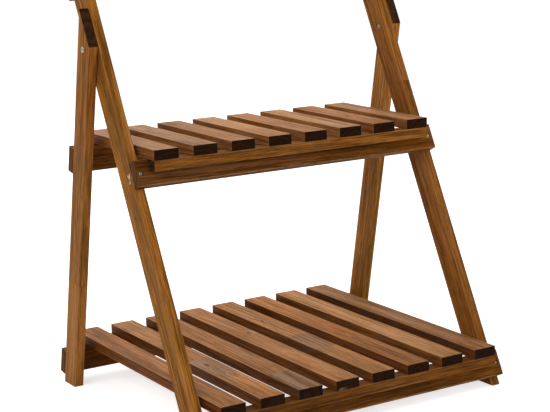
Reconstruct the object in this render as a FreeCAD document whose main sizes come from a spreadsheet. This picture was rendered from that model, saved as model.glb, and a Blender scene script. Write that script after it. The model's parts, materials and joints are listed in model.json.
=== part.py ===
import FreeCAD, Part
import os

import Sketcher

os.makedirs("parts", exist_ok=True)

doc = FreeCAD.newDocument("LadderShelf")

TIERS = ("bottom", "middle", "top")
SIDES = ("left", "right")
SLATS = 8

# ---------------------------------------------------------------- dimensions
# Lengths are millimetres and angles are degrees.
DRIVING = [
    ("slat_pitch", 72.0),
    ("slat_width", 45.0),
    ("slat_thick", 17.0),
    ("slat_round", 1.6),
    ("board_thick", 17.0),
    ("board_round", 1.5),
    ("front_leg_width", 45.0),
    ("rear_leg_width", 42.0),
    ("cross_width", 45.0),
    ("lean_front", 26.7),
    ("lean_rear", 11.1),
    ("pivot_height", 605.0),
    ("under_bottom", 61.0),
    ("under_middle", 437.0),
    ("under_top", 745.0),
    ("side_clear", 7.5),
    ("pivot_gap", 1.0),
    ("rail_height", 18.0),
    ("rail_depth", 25.0),
    ("front_clear", 2.0),
    ("rear_clear", 6.0),
    ("rail_seat", 5.0),
    ("screw_inset", 8.5),
    ("screw_bore", 3.6),
    ("screw_shank", 3.5),
    ("screw_head", 6.6),
    ("screw_head_tall", 1.5),
    ("screw_recess", 7.6),
    ("screw_recess_deep", 2.5),
    ("screw_drive", 2.4),
    ("screw_drive_deep", 0.8),
    ("slat_screw_long", 27.5),
    ("slat_pilot_deep", 12.5),
    ("rail_screw_long", 36.0),
    ("rail_pilot_deep", 22.0),
    ("bolt_head", 9.0),
    ("bolt_head_tall", 2.0),
    ("bolt_recess", 10.5),
    ("bolt_recess_deep", 2.5),
    ("bolt_shank", 6.0),
    ("bolt_bore", 6.1),
    ("bolt_hex", 2.3),
    ("bolt_hex_deep", 1.2),
    ("nut_sleeve", 8.0),
    ("nut_bore", 8.1),
    ("nut_flange", 11.0),
    ("nut_flange_tall", 1.5),
    ("nut_hex", 2.9),
    ("nut_hex_deep", 1.3),
    ("nut_back", 1.0),
    ("washer_outer", 18.0),
    ("washer_inner", 6.4),
]

DERIVED = [
    ("tan_front", "tan(lean_front)"),
    ("sin_front", "sin(lean_front)"),
    ("cos_front", "cos(lean_front)"),
    ("tan_rear", "tan(lean_rear)"),
    ("sin_rear", "sin(lean_rear)"),
    ("cos_rear", "cos(lean_rear)"),
    ("sin_open", "sin(lean_front + lean_rear)"),
    ("cos_open", "cos(lean_front + lean_rear)"),
    # Half the panel, then the leg faces outwards from the middle.
    ("panel_half", "%d / 2 * slat_pitch + slat_width / 2" % (SLATS - 1)),
    ("face_inner", "panel_half + side_clear"),
    ("face_outer", "face_inner + board_thick"),
    ("face_hinge", "face_outer + pivot_gap"),
    ("face_side", "face_hinge + board_thick"),
    # Level distance from each leg's centre line to the far face of its cross rail.
    ("reach_front", "(front_leg_width / 2 + board_thick) / cos_front"),
    ("reach_rear", "(rear_leg_width / 2 + board_thick) / cos_rear"),
    # The bottom panel's middle is over the origin.
    ("pivot_back", "((pivot_height - under_bottom) * (tan_front - tan_rear) + reach_front"
                   " - reach_rear + front_clear - rear_clear) / 2"),
    # Foot corners and the pivot's place along each leg.
    ("front_foot", "pivot_back - pivot_height * tan_front - front_leg_width / 2 / cos_front"),
    ("front_pivot", "(pivot_height + front_leg_width / 2 * sin_front) / cos_front"),
    ("rear_foot", "pivot_back + pivot_height * tan_rear - rear_leg_width / 2 / cos_rear"
                  " + rear_leg_width * tan_rear * sin_rear"),
    ("rear_sink", "rear_leg_width * sin_rear"),
    ("rear_pivot", "pivot_height / cos_rear + rear_leg_width / 2 * tan_rear"),
    ("leg_top", "under_top + slat_thick"),
    ("top_seat", "under_top - rail_height"),
    ("top_rear_edge", "pivot_back + (top_seat - pivot_height) * tan_front"
                      " + front_leg_width / 2 / cos_front"),
    ("top_rear_hole", "(top_seat + front_leg_width * sin_front) / cos_front - cross_width / 2"),
]
for tier in TIERS:
    DERIVED += [
        ("front_edge_" + tier,
         "pivot_back - (pivot_height - under_%s) * tan_front - reach_front" % tier),
        ("front_end_" + tier, "front_edge_%s - front_clear - rail_depth" % tier),
        ("front_hole_" + tier,
         "(under_%s - board_thick * sin_front) / cos_front - cross_width / 2" % tier),
    ]
for tier in TIERS[:2]:
    DERIVED += [
        ("rear_edge_" + tier,
         "pivot_back + (pivot_height - under_%s) * tan_rear + reach_rear" % tier),
        ("rear_end_" + tier, "rear_edge_%s + rear_clear + rail_depth" % tier),
        ("rear_hole_" + tier,
         "(under_%s - board_thick * sin_rear) / cos_rear - cross_width / 2" % tier),
    ]
DERIVED.append(("rear_end_top", "top_rear_edge - rail_seat + rail_depth"))
for tier in TIERS:
    DERIVED.append(("slat_long_" + tier, "rear_end_%s - front_end_%s" % (tier, tier)))

dims = doc.addObject("Spreadsheet::Sheet", "Dims")
for row, (alias, value) in enumerate(DRIVING + DERIVED, start=1):
    cell = "B%d" % row
    dims.set("A%d" % row, alias)
    dims.set(cell, str(value) if isinstance(value, float) else "=" + value)
    dims.setAlias(cell, alias)
doc.recompute()

ALIASES = sorted((alias for alias, value in DRIVING + DERIVED), key=len, reverse=True)


def bind(text):
    """Return an expression with each sheet alias given its sheet name."""
    words = ""
    spot = 0
    while spot < len(text):
        if text[spot].isalpha():
            end = spot
            while end < len(text) and (text[end].isalnum() or text[end] == "_"):
                end += 1
            word = text[spot:end]
            words += "Dims." + word if word in ALIASES else word
            spot = end
        else:
            words += text[spot]
            spot += 1
    return words


def value_of(text):
    """Return the number an expression gives now."""
    return float(dims.evalExpression(bind(text)))


# ---------------------------------------------------------------- helpers
nodes = []


def new_body(name, base, axis=(1, 0, 0), angle="0"):
    """Start a body at a bound place, turned by a bound angle about an axis."""
    body = doc.addObject("PartDesign::Body", name)
    body.Label = name
    body.AllowCompound = True
    start = FreeCAD.Vector(*[value_of(text) for text in base])
    turn = FreeCAD.Rotation(FreeCAD.Vector(*axis), value_of(angle))
    body.Placement = FreeCAD.Placement(start, turn)
    for letter, text in zip("xyz", base):
        body.setExpression("Placement.Base." + letter, bind(text))
    if angle != "0":
        body.setExpression("Placement.Rotation.Angle", bind(angle))
    nodes.append(body)
    return body


def new_sketch(body, plane, offset="0"):
    """Attach a sketch to one of the body's origin planes, moved along its normal."""
    sketch = doc.addObject("Sketcher::SketchObject", body.Name + "_sketch")
    body.addObject(sketch)
    role = [item for item in body.Origin.OriginFeatures if item.Role == plane]
    sketch.AttachmentSupport = [(role[0], "")]
    sketch.MapMode = "FlatFace"
    if offset != "0":
        sketch.setExpression("AttachmentOffset.Base.z", bind(offset))
    return sketch


def place_point(sketch, geo, end, across, up):
    """Fix a sketch point by bound distances from the sketch's origin."""
    for kind, axis_geo, text in (("DistanceX", -2, across), ("DistanceY", -1, up)):
        if text == "0":
            sketch.addConstraint(Sketcher.Constraint("PointOnObject", geo, end, axis_geo))
            continue
        size = value_of(text)
        index = sketch.addConstraint(Sketcher.Constraint(kind, -1, 1, geo, end, size))
        sketch.setExpression("Constraints[%d]" % index, bind(text))


def draw_outline(sketch, corners):
    """Draw a closed outline through bound corners."""
    first = sketch.GeometryCount
    spots = [FreeCAD.Vector(value_of(across), value_of(up), 0) for across, up in corners]
    count = len(spots)
    for number in range(count):
        line = Part.LineSegment(spots[number], spots[(number + 1) % count])
        sketch.addGeometry(line, False)
    for number in range(count):
        following = first + (number + 1) % count
        sketch.addConstraint(Sketcher.Constraint("Coincident", first + number, 2, following, 1))
    for number, (across, up) in enumerate(corners):
        place_point(sketch, first + number, 1, across, up)


def draw_circles(sketch, centres, diameter):
    """Draw one circle of a bound diameter at each bound centre."""
    radius = value_of(diameter) / 2
    for across, up in centres:
        middle = FreeCAD.Vector(value_of(across), value_of(up), 0)
        geo = sketch.addGeometry(Part.Circle(middle, FreeCAD.Vector(0, 0, 1), radius), False)
        place_point(sketch, geo, 3, across, up)
        index = sketch.addConstraint(Sketcher.Constraint("Diameter", geo, 2 * radius))
        sketch.setExpression("Constraints[%d]" % index, bind(diameter))


def draw_hexagon(sketch, radius):
    """Draw a hexagon of a bound corner radius round the sketch's origin."""
    half = "%s * sqrt(3) / 2" % radius
    draw_outline(sketch, [
        (radius, "0"),
        ("%s / 2" % radius, half),
        ("-%s / 2" % radius, half),
        ("-" + radius, "0"),
        ("-%s / 2" % radius, "-" + half),
        ("%s / 2" % radius, "-" + half),
    ])


def raise_from(body, sketch, length, reverse=False):
    """Pad a sketch by a bound length."""
    pad = doc.addObject("PartDesign::Pad", body.Name + "_pad")
    body.addObject(pad)
    pad.Profile = sketch
    pad.Reversed = reverse
    pad.Length = value_of(length)
    pad.setExpression("Length", bind(length))
    body.Tip = pad
    return pad


def cut_from(body, sketch, length, reverse=False):
    """Pocket a sketch by a bound length and check that it removes material."""
    doc.recompute()
    before = body.Shape.Volume
    pocket = doc.addObject("PartDesign::Pocket", body.Name + "_pocket")
    body.addObject(pocket)
    pocket.Profile = sketch
    pocket.Reversed = reverse
    pocket.Length = value_of(length)
    pocket.setExpression("Length", bind(length))
    body.Tip = pocket
    doc.recompute()
    if body.Shape.Volume >= before:
        raise RuntimeError("no material removed from " + body.Name)
    return pocket


def ease_edges(body, feature, direction, radius):
    """Round the edges that run along a direction of the body's own frame."""
    doc.recompute()
    along = FreeCAD.Vector(*direction)
    names = []
    for number, edge in enumerate(feature.Shape.Edges, start=1):
        if edge.Curve.TypeId != "Part::GeomLine":
            continue
        if abs(edge.tangentAt(edge.FirstParameter).dot(along)) > 0.999:
            names.append("Edge%d" % number)
    fillet = doc.addObject("PartDesign::Fillet", body.Name + "_fillet")
    body.addObject(fillet)
    fillet.Base = (feature, names)
    fillet.Radius = value_of(radius)
    fillet.setExpression("Radius", bind(radius))
    body.Tip = fillet


def box_outline(width, height):
    """Return the corners of an upright rectangle with one corner at the origin."""
    return [("0", "0"), (width, "0"), (width, height), ("0", height)]


# ---------------------------------------------------------------- legs
# Each leg is drawn upright, across and along itself, then turned to its lean.
FRONT_TURN = {"axis": (-1, 0, 0), "angle": "lean_front"}
REAR_TURN = {"axis": (1, 0, 0), "angle": "lean_rear"}


def leg_blank(name, base, turn, corners):
    """Make a leg board with its long edges rounded."""
    body = new_body(name, base, **turn)
    profile = new_sketch(body, "YZ_Plane")
    draw_outline(profile, corners)
    pad = raise_from(body, profile, "board_thick")
    ease_edges(body, pad, (0, 0, 1), "board_round")
    return body


def bore_leg(body, centre, diameter, start, depth):
    """Bore a leg across its thickness from a bound start."""
    sketch = new_sketch(body, "YZ_Plane", start)
    draw_circles(sketch, [centre], diameter)
    cut_from(body, sketch, depth, reverse=True)


front_corners = [
    ("0", "0"),
    ("front_leg_width", "front_leg_width * tan_front"),
    ("front_leg_width", "leg_top / cos_front + front_leg_width * tan_front"),
    ("0", "leg_top / cos_front"),
]
for side in SIDES:
    start = "face_inner" if side == "right" else "-face_outer"
    leg = leg_blank("front_leg_" + side, (start, "front_foot", "0"), FRONT_TURN, front_corners)
    centre = ("front_leg_width / 2", "front_pivot")
    bore_leg(leg, centre, "bolt_bore", "0", "board_thick")
    recess_start = "0" if side == "right" else "board_thick - bolt_recess_deep"
    bore_leg(leg, centre, "bolt_recess", recess_start, "bolt_recess_deep")
    pilots = new_sketch(leg, "XZ_Plane")
    draw_circles(pilots, [("board_thick / 2", "front_hole_" + tier) for tier in TIERS],
                 "screw_bore")
    cut_from(leg, pilots, "rail_pilot_deep")
    back_pilot = new_sketch(leg, "XZ_Plane", "-front_leg_width")
    draw_circles(back_pilot, [("board_thick / 2", "top_rear_hole")], "screw_bore")
    cut_from(leg, back_pilot, "rail_pilot_deep", reverse=True)

rear_corners = [
    ("0", "rear_leg_width * tan_rear"),
    ("rear_leg_width", "0"),
    ("rear_leg_width",
     "rear_pivot + (front_leg_width + rear_leg_width * cos_open) / 2 / sin_open"),
    ("0", "rear_pivot + (front_leg_width - rear_leg_width * cos_open) / 2 / sin_open"),
]
for side in SIDES:
    start = "face_hinge" if side == "right" else "-face_side"
    leg = leg_blank("rear_leg_" + side, (start, "rear_foot", "-rear_sink"), REAR_TURN,
                    rear_corners)
    bore_leg(leg, ("rear_leg_width / 2", "rear_pivot"), "nut_bore", "0", "board_thick")
    pilots = new_sketch(leg, "XZ_Plane", "-rear_leg_width")
    draw_circles(pilots, [("board_thick / 2", "rear_hole_" + tier) for tier in TIERS[:2]],
                 "screw_bore")
    cut_from(leg, pilots, "rail_pilot_deep", reverse=True)


# ---------------------------------------------------------------- cross rails
def end_reaches(half):
    """Return how far along a rail its two screws are, over the middles of the legs."""
    return ("board_thick / 2", "2 * %s - board_thick / 2" % half)


def cross_rail(name, base, turn, half, outer_face):
    """Make a cross rail with a screw hole and a head recess near each end."""
    body = new_body(name, ("-" + half,) + base, **turn)
    section = new_sketch(body, "YZ_Plane")
    draw_outline(section, box_outline("board_thick", "cross_width"))
    pad = raise_from(body, section, "2 * " + half)
    ease_edges(body, pad, (1, 0, 0), "board_round")
    ends = [(across, "cross_width / 2") for across in end_reaches(half)]
    clear = new_sketch(body, "XZ_Plane")
    draw_circles(clear, ends, "screw_bore")
    cut_from(body, clear, "board_thick")
    recess = new_sketch(body, "XZ_Plane", "0" if outer_face == "front" else "-board_thick")
    draw_circles(recess, ends, "screw_recess")
    cut_from(body, recess, "screw_recess_deep", reverse=outer_face == "back")


for tier in TIERS:
    cross_rail(tier + "_front_cross_rail",
               ("front_edge_%s - cross_width * sin_front" % tier,
                "under_%s - cross_width * cos_front" % tier),
               FRONT_TURN, "face_outer", "front")
for tier in TIERS[:2]:
    cross_rail(tier + "_rear_cross_rail",
               ("rear_edge_%s - board_thick * cos_rear + cross_width * sin_rear" % tier,
                "under_%s - board_thick * sin_rear - cross_width * cos_rear" % tier),
               REAR_TURN, "face_side", "back")
cross_rail("top_rear_cross_rail",
           ("top_rear_edge - cross_width * sin_front", "top_seat - cross_width * cos_front"),
           FRONT_TURN, "face_outer", "back")


# ---------------------------------------------------------------- screws
def screw_group(name, base, turn, plane, centres, head_at, shank_at, long, reverse, drive_reverse):
    """Make a group of equal screws: heads, shanks and a drive recess in each."""
    body = new_body(name, base, **turn)
    heads = new_sketch(body, plane, head_at)
    draw_circles(heads, centres, "screw_head")
    raise_from(body, heads, "screw_head_tall", reverse)
    shanks = new_sketch(body, plane, shank_at)
    draw_circles(shanks, centres, "screw_shank")
    raise_from(body, shanks, long, reverse)
    drives = new_sketch(body, plane, head_at)
    draw_circles(drives, centres, "screw_drive")
    cut_from(body, drives, "screw_drive_deep", drive_reverse)


def end_pairs(half, heights):
    """Return screw centres near both ends of a rail, at each bound height."""
    return [(across, height) for height in heights for across in end_reaches(half)]


front_shoulder = "board_thick - screw_recess_deep"
screw_group("front_rail_screws", ("-face_outer", "front_foot", "0"), FRONT_TURN, "XZ_Plane",
            end_pairs("face_outer", ["front_hole_" + tier for tier in TIERS]),
            front_shoulder + " + screw_head_tall", front_shoulder, "rail_screw_long",
            True, False)
screw_group("top_rear_rail_screws", ("-face_outer", "front_foot", "0"), FRONT_TURN, "XZ_Plane",
            end_pairs("face_outer", ["top_rear_hole"]),
            "-(front_leg_width + %s + screw_head_tall)" % front_shoulder,
            "-(front_leg_width + %s)" % front_shoulder, "rail_screw_long", False, True)
screw_group("rear_rail_screws", ("-face_side", "rear_foot", "-rear_sink"), REAR_TURN, "XZ_Plane",
            end_pairs("face_side", ["rear_hole_" + tier for tier in TIERS[:2]]),
            "-(rear_leg_width + %s + screw_head_tall)" % front_shoulder,
            "-(rear_leg_width + %s)" % front_shoulder, "rail_screw_long", False, True)


# ---------------------------------------------------------------- shelves
def slat_places(row):
    """Return the screw centres of one row of slats at a bound depth."""
    return [("slat_width / 2 + %d * slat_pitch" % number, row) for number in range(SLATS)]


def panel_rail(name, base, corners, row):
    """Make a panel rail with a recessed screw hole under each slat."""
    body = new_body(name, base)
    section = new_sketch(body, "YZ_Plane")
    draw_outline(section, corners)
    pad = raise_from(body, section, "2 * panel_half")
    ease_edges(body, pad, (1, 0, 0), "board_round")
    clear = new_sketch(body, "XY_Plane")
    draw_circles(clear, slat_places(row), "screw_bore")
    cut_from(body, clear, "rail_height", reverse=True)
    recess = new_sketch(body, "XY_Plane")
    draw_circles(recess, slat_places(row), "screw_recess")
    cut_from(body, recess, "screw_recess_deep", reverse=True)


def slat(name, base, long):
    """Make a slat with rounded long edges and a blind screw hole near each end."""
    body = new_body(name, base)
    section = new_sketch(body, "XZ_Plane")
    draw_outline(section, box_outline("slat_width", "slat_thick"))
    pad = raise_from(body, section, long, reverse=True)
    ease_edges(body, pad, (0, 1, 0), "slat_round")
    pilots = new_sketch(body, "XY_Plane")
    rows = ("screw_inset", long + " - screw_inset")
    draw_circles(pilots, [("slat_width / 2", row) for row in rows], "screw_bore")
    cut_from(body, pilots, "slat_pilot_deep", reverse=True)


front_section = [
    ("0", "0"),
    ("rail_depth - rail_height * tan_front", "0"),
    ("rail_depth", "rail_height"),
    ("0", "rail_height"),
]
rear_section = [
    ("rail_height * tan_rear", "0"),
    ("rail_depth", "0"),
    ("rail_depth", "rail_height"),
    ("0", "rail_height"),
]
for tier in TIERS:
    under = "under_" + tier
    low = under + " - rail_height"
    front_end = "front_end_" + tier
    long = "slat_long_" + tier
    panel_rail(tier + "_panel_front_rail", ("-panel_half", front_end, low), front_section,
               "screw_inset")
    square = box_outline("rail_depth", "rail_height")
    panel_rail(tier + "_panel_rear_rail", ("-panel_half", "rear_end_%s - rail_depth" % tier, low),
               square if tier == "top" else rear_section, "rail_depth - screw_inset")
    for number in range(SLATS):
        slat("%s_slat_%d" % (tier, number + 1),
             ("%d * slat_pitch - panel_half" % number, front_end, under), long)
    screw_group(tier + "_slat_screws", ("-panel_half", front_end, low), {}, "XY_Plane",
                slat_places("screw_inset") + slat_places(long + " - screw_inset"),
                "screw_recess_deep - screw_head_tall", "screw_recess_deep", "slat_screw_long",
                False, True)

# ---------------------------------------------------------------- pivots
CENTRE = [("0", "0")]
for side in SIDES:
    turn = {"axis": (0, 0, 1), "angle": "0" if side == "right" else "180"}
    start = "face_inner" if side == "right" else "-face_inner"
    base = (start, "pivot_back", "pivot_height")

    bolt = new_body("pivot_bolt_" + side, base, **turn)
    head = new_sketch(bolt, "YZ_Plane", "bolt_recess_deep - bolt_head_tall")
    draw_circles(head, CENTRE, "bolt_head")
    raise_from(bolt, head, "bolt_head_tall")
    shank = new_sketch(bolt, "YZ_Plane", "bolt_recess_deep")
    draw_circles(shank, CENTRE, "bolt_shank")
    raise_from(bolt, shank, "2 * board_thick + pivot_gap - 2 * nut_back - bolt_recess_deep")
    socket = new_sketch(bolt, "YZ_Plane", "bolt_recess_deep - bolt_head_tall")
    draw_hexagon(socket, "bolt_hex")
    cut_from(bolt, socket, "bolt_hex_deep", reverse=True)

    washer = new_body("pivot_washer_" + side, base, **turn)
    ring = new_sketch(washer, "YZ_Plane", "board_thick")
    draw_circles(ring, CENTRE, "washer_outer")
    draw_circles(ring, CENTRE, "washer_inner")
    raise_from(washer, ring, "pivot_gap")

    nut = new_body("pivot_nut_" + side, base, **turn)
    sleeve = new_sketch(nut, "YZ_Plane", "board_thick + pivot_gap + nut_back / 2")
    draw_circles(sleeve, CENTRE, "nut_sleeve")
    raise_from(nut, sleeve, "board_thick - nut_back / 2")
    flange = new_sketch(nut, "YZ_Plane", "2 * board_thick + pivot_gap")
    draw_circles(flange, CENTRE, "nut_flange")
    raise_from(nut, flange, "nut_flange_tall")
    thread = new_sketch(nut, "YZ_Plane", "board_thick + pivot_gap + nut_back / 2")
    draw_circles(thread, CENTRE, "bolt_bore")
    cut_from(nut, thread, "board_thick - 3 * nut_back / 2", reverse=True)
    socket = new_sketch(nut, "YZ_Plane", "2 * board_thick + pivot_gap + nut_flange_tall")
    draw_hexagon(socket, "nut_hex")
    cut_from(nut, socket, "nut_hex_deep")

# ---------------------------------------------------------------- check and write
doc.recompute()
for item in doc.Objects:
    if "Invalid" in item.State or "Error" in item.State:
        raise RuntimeError("bad object " + item.Name + " " + str(item.State))
for body in nodes:
    if body.Shape.isNull() or not body.Shape.isValid() or not body.Shape.Solids:
        raise RuntimeError("bad shape " + body.Label)
for body in nodes:
    body.Shape.exportStep("parts/%s.step" % body.Label)
    print(body.Label, len(body.Shape.Solids), round(body.Shape.Volume, 1))
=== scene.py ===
"""A folding ladder shelf with three slatted tiers, in brown-stained hardwood with steel screws.

Everything is in metres, X to the right, Y to the back, Z up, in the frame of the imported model. The boards take
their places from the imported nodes, so that a changed size there is followed here.
"""

import json
import logging
import math
from dataclasses import dataclass, field, replace
from enum import Enum

import bmesh
import bpy
import numpy as np
from mathutils import Matrix, Vector


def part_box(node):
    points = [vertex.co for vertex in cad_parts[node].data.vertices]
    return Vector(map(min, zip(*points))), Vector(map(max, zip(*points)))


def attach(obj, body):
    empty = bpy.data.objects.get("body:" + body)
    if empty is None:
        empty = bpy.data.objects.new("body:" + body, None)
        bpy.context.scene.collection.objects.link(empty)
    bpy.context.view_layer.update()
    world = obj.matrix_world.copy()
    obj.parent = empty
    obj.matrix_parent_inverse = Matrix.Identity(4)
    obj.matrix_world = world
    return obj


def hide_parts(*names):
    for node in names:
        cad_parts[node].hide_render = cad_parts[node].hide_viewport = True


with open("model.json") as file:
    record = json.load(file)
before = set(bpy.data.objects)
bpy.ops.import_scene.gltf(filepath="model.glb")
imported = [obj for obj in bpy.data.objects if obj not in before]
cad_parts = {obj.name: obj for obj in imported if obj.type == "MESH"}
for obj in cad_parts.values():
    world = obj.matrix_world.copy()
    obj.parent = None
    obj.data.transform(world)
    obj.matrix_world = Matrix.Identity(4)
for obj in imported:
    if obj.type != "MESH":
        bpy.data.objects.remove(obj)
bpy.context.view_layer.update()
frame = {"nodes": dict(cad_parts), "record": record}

log = logging.getLogger("ladder_shelf")
Colour = tuple[float, float, float, float]
Socket = bpy.types.NodeSocket
MM = 0.001


def paint(red: int, green: int, blue: int) -> Colour:
    """Turns a display colour into the linear colour that a shader socket holds.

    Args:
        red, green, blue: The display colour, each from 0 to 255.

    Returns:
        The linear red, green, blue and an alpha of 1.
    """
    shares = (red / 255, green / 255, blue / 255)
    linear = [s / 12.92 if s <= 0.04045 else ((s + 0.055) / 1.055) ** 2.4 for s in shares]
    return (*linear, 1.0)


def toned(colour: Colour, factor: float) -> Colour:
    """The colour with its red, green and blue multiplied by the factor, at most 1."""
    return (*(min(1.0, part * factor) for part in colour[:3]), 1.0)


# ---------------------------------------------------------------- named options


class Tier(Enum):
    """The three shelves, from the floor up."""

    BOTTOM = "bottom"
    MIDDLE = "middle"
    TOP = "top"


class Side(Enum):
    """The two sides of the stand, as the sign of X."""

    LEFT = -1
    RIGHT = 1

    @property
    def word(self) -> str:
        """The side as node names spell it."""
        return self.name.lower()


class Stain(Enum):
    """How one board took the brown stain: its mean colour."""

    CHESTNUT = paint(166, 107, 53)
    HONEY = paint(168, 114, 63)
    TAWNY = paint(177, 124, 73)
    SAND = paint(184, 135, 87)
    ASH_BROWN = paint(181, 128, 82)
    UMBER = paint(156, 107, 64)
    GOLDEN = paint(142, 90, 30)
    AMBER = paint(139, 89, 36)
    RUSSET = paint(152, 99, 39)
    TOFFEE = paint(128, 79, 28)
    CAROB = paint(104, 60, 14)
    WALNUT = paint(106, 61, 10)
    BRIAR = paint(153, 100, 48)


class Slot(Enum):
    """The record's material slots."""

    FRAME = "frame_wood"
    SLAT = "slat_wood"
    STEEL = "steel"


# ---------------------------------------------------------------- how a board lies


@dataclass(frozen=True)
class Lay:
    """A board's own frame: its centre, its three unit directions and half its three sizes.

    The grain runs along the first direction, the second goes across the board's width and the third through
    its thickness.
    """

    centre: np.ndarray
    along: np.ndarray
    across: np.ndarray
    through: np.ndarray
    half: np.ndarray

    @classmethod
    def of(cls, node: str, along: tuple, across: tuple) -> "Lay":
        """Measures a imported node's vertices in the directions of its board.

        Args:
            node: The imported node.
            along: The unit direction of the grain.
            across: The unit direction of the width.

        Returns:
            The board's frame, centred on the middle of its reach in each direction.
        """
        along, across = np.array(along, float), np.array(across, float)
        through = np.cross(along, across)
        mesh = frame["nodes"][node].data
        points = np.empty(len(mesh.vertices) * 3)
        mesh.vertices.foreach_get("co", points)
        reach = points.reshape(-1, 3) @ np.stack([along, across, through]).T
        low, high = reach.min(0), reach.max(0)
        centre = ((low + high) / 2) @ np.stack([along, across, through])
        return cls(centre, along, across, through, (high - low) / 2)

    def turn(self) -> tuple[float, float, float]:
        """The Euler angles that turn X, Y and Z to the board's directions."""
        return tuple(Matrix((self.along, self.across, self.through)).transposed().to_euler())

    def world(self, local: np.ndarray) -> np.ndarray:
        """Points given along, across and through the board, as points of the shared frame."""
        return self.centre + local @ np.stack([self.along, self.across, self.through])


# ---------------------------------------------------------------- shader nodes


class Bench:
    """Lays out the shader nodes of one material and links them."""

    def __init__(self, name: str) -> None:
        """Starts an empty material of this name.

        Args:
            name: The material's name.
        """
        self.material = bpy.data.materials.new(name)
        self.material.use_nodes = True
        self.tree = self.material.node_tree
        self.tree.nodes.clear()

    def add(self, kind: str, **settings: object) -> bpy.types.Node:
        """Adds a shader node of this kind with these properties.

        Args:
            kind: The kind of node, less the ShaderNode in front.
            settings: Its properties.

        Returns:
            The node.
        """
        node = self.tree.nodes.new("ShaderNode" + kind)
        for key, value in settings.items():
            setattr(node, key, value)
        return node

    def feed(self, socket: Socket, value: object) -> None:
        """Links an output to the socket, or sets the socket's own value.

        Args:
            socket: The input.
            value: The output or the value.
        """
        if isinstance(value, Socket):
            self.tree.links.new(value, socket)
        else:
            socket.default_value = value

    def maths(self, operation: str, *values: object, clamp: bool = False) -> Socket:
        """A number worked out from numbers by this operation.

        Args:
            operation: The sum to do.
            values: Outputs or numbers.
            clamp: Whether to keep the result between 0 and 1.

        Returns:
            The result's output.
        """
        node = self.add("Math", operation=operation, use_clamp=clamp)
        for socket, value in zip(node.inputs, values):
            self.feed(socket, value)
        return node.outputs[0]

    def vectors(self, operation: str, *values: object) -> Socket:
        """A vector or a number worked out from vectors.

        Args:
            operation: The sum to do.
            values: Outputs or vectors.

        Returns:
            The result's output, a number for a length, a distance or a dot product.
        """
        node = self.add("VectorMath", operation=operation)
        for socket, value in zip(node.inputs, values):
            self.feed(socket, value)
        return node.outputs["Value" if operation in ("LENGTH", "DOT_PRODUCT", "DISTANCE") else "Vector"]

    def parts(self, vector: Socket) -> tuple[Socket, ...]:
        """The three parts of a vector.

        Args:
            vector: The vector.

        Returns:
            Its X, Y and Z.
        """
        node = self.add("SeparateXYZ")
        self.feed(node.inputs[0], vector)
        return tuple(node.outputs)

    def joined(self, *values: object) -> Socket:
        """A vector of three numbers.

        Args:
            values: Its X, Y and Z, as outputs or numbers.

        Returns:
            The vector.
        """
        node = self.add("CombineXYZ")
        for socket, value in zip(node.inputs, values):
            self.feed(socket, value)
        return node.outputs[0]

    def noise(self, vector: object, stretch: tuple, detail: float = 2.0, rough: float = 0.55) -> Socket:
        """Smooth noise about 0.5.

        Args:
            vector: The place.
            stretch: The repeats per metre in each direction.
            detail: How many finer layers lie on it.
            rough: How strong the finer layers are.

        Returns:
            The noise.
        """
        node = self.add("TexNoise", noise_dimensions="3D")
        self.feed(node.inputs["Vector"], self.vectors("MULTIPLY", vector, stretch))
        node.inputs["Scale"].default_value = 1.0
        node.inputs["Detail"].default_value = detail
        node.inputs["Roughness"].default_value = rough
        return node.outputs[0]

    def fade(self, value: object, low: float, high: float, start: float = 0.0,
             end: float = 1.0) -> Socket:
        """Goes smoothly from start to end while the value goes from low to high.

        Args:
            value: The number that drives the change.
            low, high: Where the change starts and ends.
            start, end: The numbers before and after it.

        Returns:
            The result's output.
        """
        node = self.add("MapRange", interpolation_type="SMOOTHSTEP")
        for socket, number in zip(node.inputs, (value, low, high, start, end)):
            self.feed(socket, number)
        return node.outputs[0]

    def blend(self, share: object, first: object, second: object, mode: str = "MIX") -> Socket:
        """The first colour with this share of the second.

        Args:
            share: How much of the second, from 0 to 1.
            first, second: The colours.
            mode: How the second is laid on the first.

        Returns:
            The mixed colour.
        """
        node = self.add("Mix", data_type="RGBA", blend_type=mode)
        for name, value in (("Factor_Float", share), ("A_Color", first), ("B_Color", second)):
            self.feed(next(s for s in node.inputs if s.identifier == name), value)
        return next(s for s in node.outputs if s.identifier == "Result_Color")

    def ramp(self, value: object, stops: list[tuple[float, Colour]]) -> Socket:
        """The colour at the value on a ramp with these stops.

        Args:
            value: Where on the ramp, from 0 to 1.
            stops: Places and their colours, in order.

        Returns:
            The colour.
        """
        node = self.add("ValToRGB")
        ramp = node.color_ramp
        while len(ramp.elements) < len(stops):
            ramp.elements.new(0.5)
        for element, (place, colour) in zip(ramp.elements, stops):
            element.position, element.color = place, colour
        self.feed(node.inputs[0], value)
        return node.outputs[0]

    def shade(self, colour: object, roughness: object, height: object = None, lift: float = 0.0,
              **sockets: object) -> None:
        """Ends the material in one Principled shader.

        Args:
            colour: The base colour.
            roughness: How matt it is.
            height: The pattern that stands up, or None.
            lift: How far the pattern stands up, in metres.
            sockets: Values for other sockets, spelt with _ for each space.
        """
        shader = self.add("BsdfPrincipled")
        self.feed(shader.inputs["Base Color"], colour)
        self.feed(shader.inputs["Roughness"], roughness)
        for name, value in sockets.items():
            shader.inputs[name.replace("_", " ")].default_value = value
        if height is not None:
            bump = self.add("Bump")
            bump.inputs["Strength"].default_value = 0.7
            bump.inputs["Distance"].default_value = lift
            self.feed(bump.inputs["Height"], height)
            self.feed(shader.inputs["Normal"], bump.outputs[0])
        self.feed(self.add("OutputMaterial").inputs["Surface"], shader.outputs[0])


# ---------------------------------------------------------------- finishes


@dataclass(frozen=True)
class Knot:
    """A knot in a board: its place along and across the board and its radius, in metres."""

    along: float
    across: float
    radius: float = 4 * MM


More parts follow.
